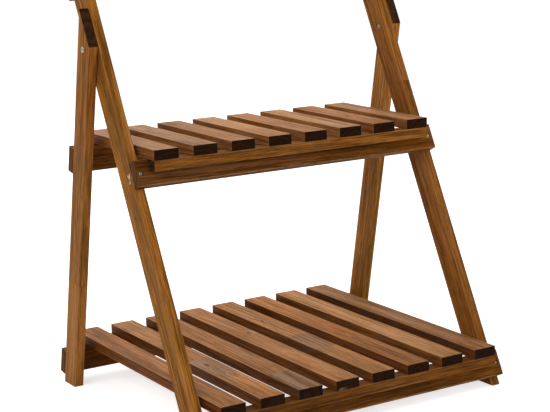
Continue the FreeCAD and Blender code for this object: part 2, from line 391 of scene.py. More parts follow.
@dataclass(frozen=True)
class FingerJoint:
    """Two lengths glued end to end by fingers: where, how the tone changes and how much haze lies beyond.

    The change and the haze are on the near side, towards the low end of the board, if near is set.
    """

    along: float
    change: float = -0.08
    haze: float = 0.0
    near: bool = False


@dataclass(frozen=True)
class Scuff:
    """A place where the stain is torn off down to raw wood, in the shared frame, and its radius."""

    place: tuple[float, float, float]
    radius: float = 5 * MM


@dataclass(frozen=True)
class Hardwood:
    """Planed hardwood with a brown stain: rings, streaks, pores, dark end grain, lighter arrises that are partly
    wearing and partly a painted highlight, and painted shade on the side faces.
    """

    ring_rate: float = 230.0
    ring_share: float = 0.46
    streak_depth: float = 0.5
    pale_lift: float = 1.5
    figure_spread: float = 0.082
    # Painted shade: the colour that multiplies the side faces of a board, darkened as if they stood in the shadow of
    # their neighbours.
    side_tone: Colour = (0.38, 0.28, 0.15, 1.0)
    gloss: float = 0.05
    end_grain: Colour = paint(33, 16, 5)
    # The lighter colour on the arrises: partly wearing of the stain, partly a painted highlight where the rounded
    # edges catch the light.
    worn: Colour = paint(196, 150, 100)
    raw: Colour = paint(214, 184, 142)
    knot_heart: Colour = paint(52, 28, 14)
    haze: Colour = paint(150, 126, 108)
    haze_share: float = 0.3
    # How much of that lighter arris colour is laid on, partly wearing and partly painted highlight.
    wear: float = 0.28
    warm: Colour = (1.0, 0.84, 0.56, 1.0)
    finger_pitch: float = 4 * MM
    finger_reach: float = 9 * MM
    seam_width: float = 0.45 * MM
    pith_depth: float = 34 * MM
    flow_reach: float = 16 * MM
    relief: float = 0.35 * MM

    def dress(self, name: str, lay: Lay, stain: Stain, seed: int, joints: tuple[FingerJoint, ...] = (),
              knots: tuple[Knot, ...] = (), scuffs: tuple[Scuff, ...] = (),
              drift: float = 0.0) -> bpy.types.Material:
        """Makes the finish of one board.

        The figure is noise on the distance from a pith line outside the board, so that the same rings flow
        over its faces, plus streaks drawn out along the grain. Beyond each finger joint the figure starts
        anew. A knot bends the rings round itself.

        Args:
            name: The material's name.
            lay: The board's frame.
            stain: How the board took the stain.
            seed: Which part of the tree the board is from.
            joints: The board's finger joints.
            knots: The board's knots.
            scuffs: The places where the stain is torn off.
            drift: How much lighter the board gets from its middle to its far end; on the slats a painted highlight
                towards the back.

        Returns:
            The material, for Object coordinates.
        """
        bench = Bench(name)
        luck = np.random.default_rng(seed).uniform(-1, 1, 6)
        coordinates = bench.add("TexCoord")
        mapping = bench.add("Mapping", vector_type="TEXTURE")
        mapping.inputs["Location"].default_value = lay.centre
        mapping.inputs["Rotation"].default_value = lay.turn()
        bench.feed(mapping.inputs["Vector"], coordinates.outputs["Object"])
        local = mapping.outputs[0]
        stock, tone, seam, greyed = self.lengths(bench, local, joints, tuple(luck[:3] * (9.0, 0.02, 0.02)))
        rings, heart = self.growth(bench, local, stock, lay, luck[3:], knots)
        streaks = bench.noise(stock, (13, 360, 360), 3, 0.6)
        fibres = bench.noise(stock, (42, 1150, 1150), 2)
        pores = bench.fade(bench.noise(stock, (64, 1500, 1500), 1), 0.60, 0.70)
        clouds = bench.noise(stock, (4.5, 26, 26), 2)
        figure = bench.maths("MULTIPLY_ADD", rings, self.ring_share, bench.maths("MULTIPLY", streaks, 0.36))
        figure = bench.maths("MULTIPLY_ADD", fibres, 0.64 - self.ring_share, figure)

        body, spread = stain.value, self.figure_spread
        colour = bench.ramp(figure, [(0.5 - spread, toned(body, self.streak_depth)),
                                     (0.5 - 0.3 * spread, toned(body, 0.88)),
                                     (0.5 + 0.3 * spread, toned(body, 1.12)),
                                     (0.5 + spread, toned(body, self.pale_lift))])
        threads = bench.fade(bench.noise(stock, (22, 560, 560), 2), 0.54, 0.64)
        colour = bench.blend(bench.maths("MULTIPLY", threads, 0.5), colour, toned(body, 0.38))
        hazed = bench.maths("MULTIPLY_ADD", bench.fade(clouds, 0.5, 0.68), self.haze_share, greyed, clamp=True)
        hazed = bench.maths("MULTIPLY", hazed, bench.fade(figure, 0.44, 0.56))
        colour = bench.blend(hazed, colour, self.haze)
        colour = bench.blend(bench.maths("MULTIPLY", pores, 0.5), colour, toned(body, 0.35))
        if knots:
            colour = bench.blend(bench.maths("MULTIPLY", heart, 0.85), colour, self.knot_heart)
        if joints:
            colour = bench.blend(bench.maths("MULTIPLY", seam, 0.55), colour, toned(body, 0.3))
        patches = bench.fade(bench.noise(stock, (6, 22, 22), 3), 0.5, 0.66, 0.0, 0.75)
        colour = bench.blend(patches, colour, bench.blend(1.0, colour, self.warm, "MULTIPLY"))
        value = bench.add("HueSaturation")
        bench.feed(value.inputs["Color"], colour)
        mottle = bench.maths("MULTIPLY_ADD", clouds, 0.62, 0.69)
        # The tone of each length plus the drift towards the far end, which on the slats is painted highlight.
        slope = bench.maths("MULTIPLY_ADD", bench.parts(local)[0], drift / lay.half[0], tone)
        bench.feed(value.inputs["Value"], bench.maths("ADD", mottle, slope))

        colour, ends = self.faced(bench, value.outputs[0], coordinates.outputs["Normal"], local, stock, rings, lay)
        for scuff in scuffs:
            far = bench.vectors("DISTANCE", coordinates.outputs["Object"], scuff.place)
            torn = bench.maths("MULTIPLY_ADD", bench.noise(stock, (120, 420, 420), 2), 3 * scuff.radius, far)
            torn = bench.fade(torn, 2.1 * scuff.radius, 2.4 * scuff.radius, 0.85, 0.0)
            colour = bench.blend(torn, colour, self.raw)
        bare = bench.add("Attribute", attribute_name="bare")
        colour = bench.blend(bench.maths("MULTIPLY", bare.outputs["Fac"], 0.8), colour, self.raw)
        matt = bench.maths("MULTIPLY_ADD", figure, -0.35, 0.72)
        matt = bench.maths("MULTIPLY_ADD", ends, 0.25, matt, clamp=True)
        grain = bench.maths("MULTIPLY_ADD", fibres, 0.5, figure)
        height = bench.maths("MULTIPLY_ADD", pores, -0.6, grain)
        bench.shade(colour, matt, height, self.relief, Specular_IOR_Level=self.gloss)
        return bench.material

    def lengths(self, bench: Bench, local: Socket, joints: tuple[FingerJoint, ...],
                start: tuple) -> tuple[Socket, Socket, Socket, Socket]:
        """Splits the board's stock at its finger joints.

        A place is beyond a joint where along + reach * zigzag(across / pitch) is over the joint's own
        place, with the zigzag going from 0 to 1 and back over each pitch. Each joint shifts the stock
        beyond it to another part of the tree.

        Args:
            bench: The bench of the material.
            local: The place in the board's frame.
            joints: The finger joints.
            start: Where in the tree the board starts.

        Returns:
            The place in the tree, the change of tone, the glue line and the share of haze.
        """
        along, across, _ = bench.parts(local)
        tone, seam, greyed = 0.0, 0.0, 0.0
        for joint in joints:
            fingers = bench.maths("MULTIPLY", bench.maths("PINGPONG", across, self.finger_pitch / 2),
                                  2 * self.finger_reach / self.finger_pitch)
            place = bench.maths("ADD", along, fingers)
            beyond = bench.maths("GREATER_THAN", place, joint.along)
            told = bench.maths("SUBTRACT", 1.0, beyond) if joint.near else beyond
            tone = bench.maths("MULTIPLY_ADD", told, joint.change, tone)
            greyed = bench.maths("MULTIPLY_ADD", told, joint.haze, greyed)
            seam = bench.maths("MAXIMUM", seam, bench.maths("COMPARE", place, joint.along, self.seam_width))
            jump = bench.vectors("SCALE", (1.31, 0.017, -0.023))
            bench.feed(jump.node.inputs["Scale"], beyond)
            start = bench.vectors("ADD", start, jump)
        return bench.vectors("ADD", local, start), tone, seam, greyed

    def growth(self, bench: Bench, local: Socket, stock: Socket, lay: Lay, luck: np.ndarray,
               knots: tuple[Knot, ...]) -> tuple[Socket, Socket]:
        """Draws the growth rings and the knots.

        The rings are noise on rate * (distance from the pith line + flow), where flow is a slow noise. Near a
        knot the distance grows by 0.9 of the distance from the knot, which bends the rings round it.

        Args:
            bench: The bench of the material.
            local: The place in the board's frame.
            stock: The place in the tree.
            lay: The board's frame.
            luck: Three numbers from -1 to 1: the pith line's lean, its offset across and its depth.
            knots: The knots.

        Returns:
            The rings and the hearts of the knots.
        """
        grain, width, depth = bench.parts(stock)
        flow = bench.maths("MULTIPLY_ADD", bench.noise(stock, (2.6, 16, 16), 2), self.flow_reach,
                           -self.flow_reach / 2)
        lean = bench.maths("MULTIPLY", bench.parts(local)[0], 0.055 * luck[0])
        width = bench.maths("ADD", bench.maths("ADD", width, lean), 0.018 * luck[1])
        depth = bench.maths("ADD", depth, self.pith_depth + 0.02 * luck[2])
        radius = bench.maths("ADD", bench.vectors("LENGTH", bench.joined(0.0, width, depth)), flow)
        heart = 0.0
        for knot in knots:
            away = bench.vectors("SUBTRACT", local, (knot.along, knot.across, lay.half[2]))
            far = bench.vectors("LENGTH", bench.vectors("MULTIPLY", away, (0.5, 1.0, 0.25)))
            near = bench.fade(far, knot.radius * 0.8, knot.radius * 3.6, 1.0, 0.0)
            radius = bench.maths("MULTIPLY_ADD", near, bench.maths("MULTIPLY", far, 0.9), radius)
            heart = bench.maths("MAXIMUM", heart, bench.fade(far, knot.radius * 0.35, knot.radius, 1.0, 0.0))
        ringed = bench.joined(bench.maths("MULTIPLY", radius, self.ring_rate),
                              bench.maths("MULTIPLY", grain, 1.8), 0.0)
        return bench.noise(ringed, (1, 1, 1), 2.5), heart

    def faced(self, bench: Bench, colour: Socket, normal: Socket, local: Socket, stock: Socket, rings: Socket,
              lay: Lay) -> tuple[Socket, Socket]:
        """Lightens the arrises, paints shade on the side faces and shows the end grain.

        An arris is lightened where the distance to the farther of the two nearest faces is under a ragged
        noise: partly wearing of the stain, partly a painted highlight on the rounded edge. The side faces are
        those whose normal is across the board, and get painted shade; the ends are those whose normal is along it.

        Args:
            bench: The bench of the material.
            colour: The stained wood.
            normal: The direction that the face looks in.
            local: The place in the board's frame.
            stock: The place in the tree.
            rings: The growth rings.
            lay: The board's frame.

        Returns:
            The colour, and 1 on the ends.
        """
        _, across, through = bench.parts(local)
        edge = bench.maths("MAXIMUM",
                           bench.maths("SUBTRACT", lay.half[1], bench.maths("ABSOLUTE", across)),
                           bench.maths("SUBTRACT", lay.half[2], bench.maths("ABSOLUTE", through)))
        # Lighter arrises: partly wearing of the stain, partly a painted highlight on the rounded edges.
        ragged = bench.maths("MULTIPLY_ADD", bench.noise(stock, (55, 260, 260), 2), 4.4 * MM, -0.6 * MM)
        wear_and_highlight_mask = bench.fade(bench.maths("SUBTRACT", edge, ragged), -0.9 * MM, 0.5 * MM, self.wear, 0.0)
        colour = bench.blend(wear_and_highlight_mask, colour, self.worn)
        # Painted shade: the side faces, whose normal runs across the board, are multiplied darker.
        sideways = bench.maths("ABSOLUTE", bench.vectors("DOT_PRODUCT", normal, tuple(lay.across)))
        painted_flank_shade = bench.fade(sideways, 0.55, 0.9)
        colour = bench.blend(painted_flank_shade, colour, bench.blend(1.0, colour, self.side_tone, "MULTIPLY"))
        facing = bench.maths("ABSOLUTE", bench.vectors("DOT_PRODUCT", normal, tuple(lay.along)))
        ends = bench.fade(facing, 0.4, 0.58)
        sawn = bench.blend(bench.fade(rings, 0.42, 0.58), toned(self.end_grain, 1.35), toned(self.end_grain, 0.55))
        pits = bench.fade(bench.noise(local, (300, 620, 620), 2), 0.55, 0.68)
        sawn = bench.blend(bench.maths("MULTIPLY", pits, 0.55), sawn, toned(self.end_grain, 2.4))
        return bench.blend(ends, colour, sawn), ends


@dataclass(frozen=True)
class ZincedSteel:
    """Zinc-plated steel: pale metal with a brushed tone, worn patches and dull spots."""

    bright: Colour = paint(186, 186, 180)
    dull: Colour = paint(118, 117, 112)
    grime: Colour = paint(70, 60, 50)

    def dress(self, name: str) -> bpy.types.Material:
        """Makes the finish, with two scales of noise between bright, dull and grimy metal.

        Args:
            name: The material's name.

        Returns:
            The material.
        """
        bench = Bench(name)
        place = bench.add("TexCoord").outputs["Object"]
        patches = bench.noise(place, (260, 260, 260), 3)
        grains = bench.noise(place, (2400, 2400, 900), 2)
        colour = bench.ramp(patches, [(0.34, self.grime), (0.44, self.dull), (0.6, self.bright)])
        rough = bench.maths("MULTIPLY_ADD", patches, -0.3, 0.55)
        bench.shade(colour, bench.maths("MULTIPLY_ADD", grains, 0.12, rough), grains, 0.03 * MM, Metallic=0.9)
        return bench.material


STEEL = ZincedSteel().dress("zinced_steel")
# The slat woods differ in their painted side shade: deeper on the bottom tier, lighter on the upper tiers.
DEEP_SIDE_SHADE_SLAT_WOOD = Hardwood()
LIGHT_SIDE_SHADE_SLAT_WOOD = Hardwood(side_tone=(0.55, 0.45, 0.32, 1.0))
# The frame woods have no painted side shade; their lighter arrises, partly wearing and partly painted highlight, are
# stronger on the cross rails.
FRAME_WOOD = Hardwood(ring_rate=190.0, ring_share=0.36, figure_spread=0.068, haze_share=0.12, wear=0.14,
                      side_tone=(1.0, 1.0, 1.0, 1.0), end_grain=paint(50, 30, 13))
CROSS_RAIL_WOOD = replace(FRAME_WOOD, end_grain=paint(86, 56, 28), wear=0.3)


# ---------------------------------------------------------------- surfaces


def skin(name: str, points: np.ndarray, joined: bool = False, marks: dict[str, np.ndarray] | None = None,
         poles: bool = False) -> bpy.types.Mesh:
    """Makes a closed mesh from a grid of points, rings by turns.

    Each ring closes on itself. Consecutive rings are joined by quads, and the first and last ring are
    joined to each other, or each is closed by one flat face, or by triangles to its middle.

    Args:
        name: The mesh's name.
        points: The grid, rings x points per ring x 3.
        joined: Whether the last ring meets the first.
        marks: Numbers per grid point, kept as attributes.
        poles: Whether the end rings close to their middle points.

    Returns:
        The mesh, its faces outwards.
    """
    rings, turns = points.shape[:2]
    index = np.arange(rings * turns).reshape(rings, turns)
    after = np.roll(index, -1, axis=1)
    lower = index if joined else index[:-1]
    upper = np.roll(index, -1, axis=0) if joined else index[1:]
    next_lower = after if joined else after[:-1]
    next_upper = np.roll(after, -1, axis=0) if joined else after[1:]
    faces = np.stack([lower, next_lower, next_upper, upper], -1).reshape(-1, 4).tolist()
    vertices = points.reshape(-1, 3)
    if poles:
        middles = np.stack([points[0].mean(0), points[-1].mean(0)])
        first, last = rings * turns, rings * turns + 1
        vertices = np.concatenate([vertices, middles])
        faces += np.stack([after[0], index[0], np.full(turns, first)], -1).tolist()
        faces += np.stack([index[-1], after[-1], np.full(turns, last)], -1).tolist()
    elif not joined:
        faces += [index[0, ::-1].tolist(), index[-1].tolist()]
    a, b, c = points[:-1, :], np.roll(points, -1, axis=1)[:-1], points[1:, :]
    middle = points.reshape(-1, 3).mean(0)
    if np.einsum("ijk,ijk->", np.cross(b - a, c - a), a - middle) < 0:
        faces = [face[::-1] for face in faces]
    mesh = bpy.data.meshes.new(name)
    mesh.from_pydata(vertices.tolist(), [], faces)
    mesh.polygons.foreach_set("use_smooth", np.ones(len(mesh.polygons), bool))
    for key, values in (marks or {}).items():
        whole = np.zeros(len(vertices))
        whole[: rings * turns] = values.reshape(-1)
        mesh.attributes.new(key, "FLOAT", "POINT").data.foreach_set("value", whole)
    mesh.update()
    return mesh


def merged(name: str, meshes: list[bpy.types.Mesh]) -> bpy.types.Mesh:
    """Puts several meshes into one of this name, and removes them.

    Args:
        name: The new mesh's name.
        meshes: The meshes, which are used up.

    Returns:
        The new mesh.
    """
    whole = bmesh.new()
    for mesh in meshes:
        whole.from_mesh(mesh)
        bpy.data.meshes.remove(mesh)
    result = bpy.data.meshes.new(name)
    whole.to_mesh(result)
    whole.free()
    return result


def piece(mesh: bpy.types.Mesh, material: bpy.types.Material, body: str, nodes: list[str],
          even: bool = True) -> bpy.types.Object:
    """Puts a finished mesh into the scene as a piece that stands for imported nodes.

    Args:
        mesh: The mesh, in the shared frame.
        material: Its finish.
        body: The body that it rides on.
        nodes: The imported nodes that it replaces.
        even: Whether large flats keep their normals beside small rounds.

    Returns:
        The new object.
    """
    made = bpy.data.objects.new(mesh.name, mesh)
    mesh.materials.append(material)
    bpy.context.scene.collection.objects.link(made)
    if even:
        made.modifiers.new("flat_faces", "WEIGHTED_NORMAL").weight = 90
    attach(made, body)
    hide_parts(*nodes)
    log.info("%s on %s, %d faces, for %s", made.name, body, len(mesh.polygons), ", ".join(nodes))
    return made


def dress_node(node: str, material: bpy.types.Material) -> None:
    """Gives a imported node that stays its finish.

    Args:
        node: The node's name.
        material: The finish.
    """
    for slot in frame["nodes"][node].material_slots:
        slot.link = "OBJECT"
        slot.material = material
    log.info("%s dressed in %s", node, material.name)


def frame_across(axis: np.ndarray) -> tuple[np.ndarray, np.ndarray]:
    """Two unit directions square to the axis and to each other.

    Args:
        axis: A unit direction.

    Returns:
        The two directions, as the axis crossed with X or Y, and the axis crossed with that.
    """
    side = np.cross(axis, (1.0, 0.0, 0.0) if abs(axis[0]) < 0.9 else (0.0, 1.0, 0.0))
    side /= np.linalg.norm(side)
    return side, np.cross(axis, side)


@dataclass(frozen=True)
class Chip:
    """A piece broken off an arris: its place along, across and through the board, and its radius."""

    along: float
    across: float
    through: float
    radius: float = 4 * MM


@dataclass
class Board:
    """A planed board with eased arrises, as a rounded section carried along the grain."""

    name: str
    lay: Lay
    easing: float = 0.8 * MM
    chips: tuple[Chip, ...] = ()
    seed: int = 1

    def section(self) -> tuple[np.ndarray, np.ndarray]:
        """The outline across and through the board, with the outward diagonal of each corner point.

        Each corner is a quarter circle in five steps.

        Returns:
            Each point's sharp corner, and its unit direction from the centre of the corner's round.
        """
        angles = np.linspace(0, math.pi / 2, 6)
        quarter = np.stack([np.cos(angles), np.sin(angles)], -1)
        corners, spokes = [], []
        for turn, (sx, sy) in enumerate(((1, 1), (-1, 1), (-1, -1), (1, -1))):
            spin = np.array([[math.cos(turn * math.pi / 2), -math.sin(turn * math.pi / 2)],
                             [math.sin(turn * math.pi / 2), math.cos(turn * math.pi / 2)]])
            corners.append(np.tile((sx * self.lay.half[1], sy * self.lay.half[2]), (6, 1)))
            spokes.append(quarter @ spin.T)
        return np.concatenate(corners), np.concatenate(spokes)

    def build(self) -> bpy.types.Mesh:
        """Carries the section along the board and rounds its ends over.

        At the place s along the board the section's corners have the radius easing * (1 + 0.2 * wander(s)),
        where wander is a sum of three sines. In the last easing at each end the outline draws in by
        easing * (1 - cos t) while s goes by easing * sin t. A chip pulls the points within its radius
        towards the board's middle by up to half that radius.

        Returns:
            The mesh, in the shared frame, with the attribute bare where a chip shows raw wood.
        """
        luck = np.random.default_rng(self.seed)
        length = self.lay.half[0]
        bend = np.linspace(0, math.pi / 2, 5)
        inner = np.concatenate([np.arange(3 * MM, 18 * MM, 1.5 * MM),
                                np.arange(24 * MM, 2 * length - 24 * MM, 14 * MM)])
        inner = np.unique(np.concatenate([inner, 2 * length - inner[::-1]]).round(5))
        inner = inner[(inner > self.easing + 0.5 * MM) & (inner < 2 * length - self.easing - 0.5 * MM)]
        cap = self.easing + np.array([0.8, 2.2, 4.5]) * MM
        places = np.concatenate([np.zeros(3), self.easing * (1 - np.sin(bend[::-1])), inner,
                                 2 * length - self.easing * (1 - np.sin(bend)), np.full(3, 2 * length)]) - length
        inset = np.concatenate([cap[::-1], self.easing * (1 - np.cos(bend[::-1])), np.zeros(len(inner)),
                                self.easing * (1 - np.cos(bend)), cap])
        phases = luck.uniform(0, 2 * math.pi, (3, 4))
        rates = np.array([19.0, 47.0, 113.0])
        wander = np.sin(places[:, None, None] * rates[None, :, None] + phases[None]).sum(1) / 3
        corners, spokes = self.section()
        radius = self.easing * (1 + 0.2 * np.repeat(wander, 6, axis=1))
        signs = np.sign(corners)
        outline = corners[None] - signs[None] * radius[..., None] + spokes[None] * radius[..., None]
        outline -= np.sign(outline) * np.minimum(inset[:, None, None], np.abs(outline))
        local = np.concatenate([np.broadcast_to(places[:, None, None], outline.shape[:2] + (1,)), outline], -1)
        local = self.divided(local)
        bare = np.zeros(local.shape[:2])
        for chip in self.chips:
            point = np.array([chip.along, chip.across, chip.through])
            gap = np.linalg.norm((local - point) * (0.5, 1, 1), axis=-1)
            bite = np.clip(1 - gap / chip.radius, 0, 1) ** 0.7
            local = local - (bite * chip.radius * 0.5)[..., None] * np.sign(point) * (0.2, 1, 1)
            bare = np.maximum(bare, bite)
        return skin(self.name, self.lay.world(local), marks={"bare": bare})

    @staticmethod
    def divided(rings: np.ndarray) -> np.ndarray:
        """Puts three points on each flat between two corners, at even shares of the way.

        Args:
            rings: The rings of four corners with six points each.

        Returns:
            The rings with the added points.
        """
        shares = np.array([0.08, 0.5, 0.92])
        parts = []
        for corner in range(4):
            block = rings[:, corner * 6: corner * 6 + 6]
            start, end = block[:, -1:], rings[:, (corner * 6 + 6) % 24][:, None]
            parts += [block, start + (end - start) * shares[None, :, None]]
        return np.concatenate(parts, axis=1)


@dataclass(frozen=True)
class Screw:
    """A pan-head wood screw: a domed head with a cross recess on a threaded shank."""

    length: float
    head: float = 3.3 * MM
    tall: float = 1.5 * MM
    shank: float = 1.75 * MM
    pitch: float = 1.7 * MM
    turns: int = 24

    def build(self, name: str, top: np.ndarray, inward: np.ndarray) -> bpy.types.Mesh:
        """Builds the screw from its head's face inwards.

        On the head the height over the rim is a dome, tall * 0.35 * (1 - (r / head) ** 2), less a cross:
        0.9 mm deep where a point is within 0.42 mm of either arm's line and 1.9 mm of the middle. On the
        shank the radius at depth d and angle a is 0.72 of the shank plus 0.28 of it times a triangle wave of
        d / pitch - a / full turn, and it narrows to a point over the last 4 mm.

        Args:
            name: The mesh's name.
            top: The middle of the head's face.
            inward: The unit direction from the head to the point.

        Returns:
            The mesh, in the shared frame.
        """
        angles = np.linspace(0, 2 * math.pi, self.turns, endpoint=False)
        u, v = frame_across(inward)
        face = np.array([0.15, 0.3, 0.45, 0.56, 0.68, 0.8, 0.9, 0.97]) * self.head
        radius = np.repeat(face[:, None], self.turns, 1)
        x, y = radius * np.cos(angles), radius * np.sin(angles)
        arms = np.minimum(np.abs(x), np.abs(y))
        cross = np.clip((0.62 * MM - arms) / (0.3 * MM), 0, 1) * np.clip((2.1 * MM - radius) / (0.4 * MM), 0, 1)
        depth = self.tall * 0.35 * (radius / self.head) ** 2 + 0.9 * MM * cross
        rim = np.array([[0.5, 1.0], [0.9, 1.0], [1.0, 0.96], [1.0, 0.6]])
        rim_depth = np.repeat(rim[:, :1] * self.tall, self.turns, 1)
        rim_radius = np.repeat(rim[:, 1:] * self.head, self.turns, 1)
        down = np.arange(self.tall + 0.2 * MM, self.tall + self.length - 0.1 * MM, self.pitch / 4)
        wave = down[:, None] / self.pitch - angles[None] / (2 * math.pi)
        tooth = 1 - np.abs(2 * (wave % 1) - 1)
        narrow = np.clip((self.tall + self.length - down) / (4 * MM), 0.04, 1)[:, None]
        thread = self.shank * (0.72 + 0.28 * tooth) * narrow
        radius = np.concatenate([radius, rim_radius, thread])
        depth = np.concatenate([depth, rim_depth, np.repeat(down[:, None], self.turns, 1)])
        points = (top + depth[..., None] * inward + (radius * np.cos(angles))[..., None] * u
                  + (radius * np.sin(angles))[..., None] * v)
        return skin(name, points, poles=True)


def turned(name: str, origin: np.ndarray, axis: np.ndarray, rows: list[tuple[float, float, float]],
           joined: bool = False, turns: int = 48) -> bpy.types.Mesh:
    """A turned part, some of whose rings are hexagons.

    The point at row k and angle a is origin + height * axis + radius * shape(a), where shape is a unit circle
    blended by the row's share with a hexagon of unit corner radius.

    Args:
        name: The mesh's name.
        origin: Where height 0 is.
        axis: The unit direction of height.
        rows: Height and radius in millimetres, and the share of hexagon.
        joined: Whether the last row meets the first, as on a washer.
        turns: The points in each ring.

    Returns:
        The mesh, in the shared frame.
    """
    heights, radii, shares = np.array(rows).T * np.array([[MM], [MM], [1.0]])
    angles = np.linspace(0, 2 * math.pi, turns, endpoint=False)
    hexagon = math.cos(math.pi / 6) / np.cos(angles % (math.pi / 3) - math.pi / 6)
    reach = radii[:, None] * (1 + shares[:, None] * (hexagon[None] - 1))
    u, v = frame_across(axis)
    points = (origin + heights[:, None, None] * axis + (reach * np.cos(angles))[..., None] * u
              + (reach * np.sin(angles))[..., None] * v)
    return skin(name, points, joined=joined, poles=not joined)


# ---------------------------------------------------------------- sub-assemblies


@dataclass
class Leaning:
    """What the two leg frames share: their lean and their pieces' directions."""

    lean_deg: float
    body: str

    @property
    def up(self) -> tuple[float, float, float]:
        """The unit direction up a leg, leaning back for a positive lean."""
        lean = math.radians(self.lean_deg)
        return (0.0, math.sin(lean), math.cos(lean))

    @property
    def back(self) -> tuple[float, float, float]:
        """The unit direction square to a leg, towards the back."""
        lean = math.radians(self.lean_deg)
        return (0.0, math.cos(lean), -math.sin(lean))

    def leg_lay(self, node: str) -> Lay:
        """The frame of a leg, whose grain runs up it."""
        return Lay.of(node, self.up, self.back)

    def rail_lay(self, node: str) -> Lay:
        """The frame of a cross rail, whose grain runs from side to side."""
        return Lay.of(node, (1.0, 0.0, 0.0), self.up)


@dataclass
class LegFrame(Leaning):
    """Two legs with the cross rails that join them, and the rails' screws."""

    legs: dict[str, tuple[Stain, int, tuple[FingerJoint, ...]]] = field(default_factory=dict)
    rails: dict[str, tuple[Stain, int, float]] = field(default_factory=dict)
    screw_nodes: dict[str, list[str]] = field(default_factory=dict)
    scuffs: dict[str, tuple[Scuff, ...]] = field(default_factory=dict)
    rail_drift: float = 0.2
    screw_inset: float = 8.5 * MM
    head_below: float = 1.0 * MM
    screw: Screw = field(default_factory=lambda: Screw(36 * MM))

    def dress(self) -> None:
        """Gives the legs and cross rails their stained wood."""
        for node, (stain, seed, joints) in self.legs.items():
            dress_node(node, FRAME_WOOD.dress(node + "_wood", self.leg_lay(node), stain, seed, joints,
                                              scuffs=self.scuffs.get(node, ())))
        for node, (stain, seed, _) in self.rails.items():
            dress_node(node, CROSS_RAIL_WOOD.dress(node + "_wood", self.rail_lay(node), stain, seed,
                                                   scuffs=self.scuffs.get(node, ()), drift=self.rail_drift))

    def build(self) -> None:
        """Builds the screws, two in the outer face of each cross rail."""
        for node, rails in self.screw_nodes.items():
            screws = []
            for rail in rails:
                lay = self.rail_lay(rail)
                facing = self.rails[rail][2]
                face = lay.through * facing
                for sign in (-1, 1):
                    local = np.array([sign * (lay.half[0] - self.screw_inset), 0.0,
                                      facing * (lay.half[2] - self.head_below)])
                    screws.append(self.screw.build(f"{rail}_{sign}", lay.world(local), -face))
            piece(merged(node + "_set", screws), STEEL, self.body, [node], even=False)


@dataclass
class Shelf:
    """One tier: eight slats screwed from below to a front and a rear rail."""

    tier: Tier
    stains: tuple[Stain, ...]
    joints: dict[int, tuple[FingerJoint, ...]] = field(default_factory=dict)
    knots: dict[int, tuple[Knot, ...]] = field(default_factory=dict)
    chips: dict[int, tuple[Chip, ...]] = field(default_factory=dict)
    rail_stains: tuple[Stain, Stain] = (Stain.GOLDEN, Stain.TOFFEE)
    seed: int = 0
    head_below: float = 1.0 * MM
    screw: Screw = field(default_factory=lambda: Screw(27.5 * MM))

    @property
    def body(self) -> str:
        """The shelf's body."""
        return self.tier.value + "_shelf"

    def build(self) -> None:
        """Builds the slats and the screws."""
        for number, stain in enumerate(self.stains, 1):
            node = f"{self.tier.value}_slat_{number}"
            lay = Lay.of(node, (0.0, 1.0, 0.0), (-1.0, 0.0, 0.0))
            board = Board(f"{self.tier.value}_board_{number}", lay, chips=self.chips.get(number, ()),
                          seed=self.seed + number)
            # The bottom slats get the deeper painted side shade, the upper ones a lighter one.
            finish = DEEP_SIDE_SHADE_SLAT_WOOD if self.tier is Tier.BOTTOM else LIGHT_SIDE_SHADE_SLAT_WOOD
            # drift=0.08 is a painted highlight: each slat top gets lighter towards the back.
            wood = finish.dress(board.name + "_wood", lay, stain, self.seed + number,
                                self.joints.get(number, ()), self.knots.get(number, ()), drift=0.08)
            piece(board.build(), wood, self.body, [node])
        node = self.tier.value + "_slat_screws"
        low, high = (np.array(corner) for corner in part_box(node))
        inset = self.screw.head
        screws = []
        for x in np.linspace(low[0] + inset, high[0] - inset, len(self.stains)):
            for y in (low[1] + inset, high[1] - inset):
                screws.append(self.screw.build(f"{node}_{x:.3f}_{y:.3f}", np.array([x, y, low[2]]),
                                               np.array([0.0, 0.0, 1.0])))
        piece(merged(node[:-1] + "_set", screws), STEEL, self.body, [node], even=False)

    def dress(self) -> None:
        """Gives the two rails their stained wood."""
        for end, stain in zip(("front", "rear"), self.rail_stains):
            node = f"{self.tier.value}_panel_{end}_rail"
            lay = Lay.of(node, (1.0, 0.0, 0.0), (0.0, 1.0, 0.0))
            dress_node(node, FRAME_WOOD.dress(node + "_wood", lay, stain, self.seed + 40 + len(end), drift=0.18))


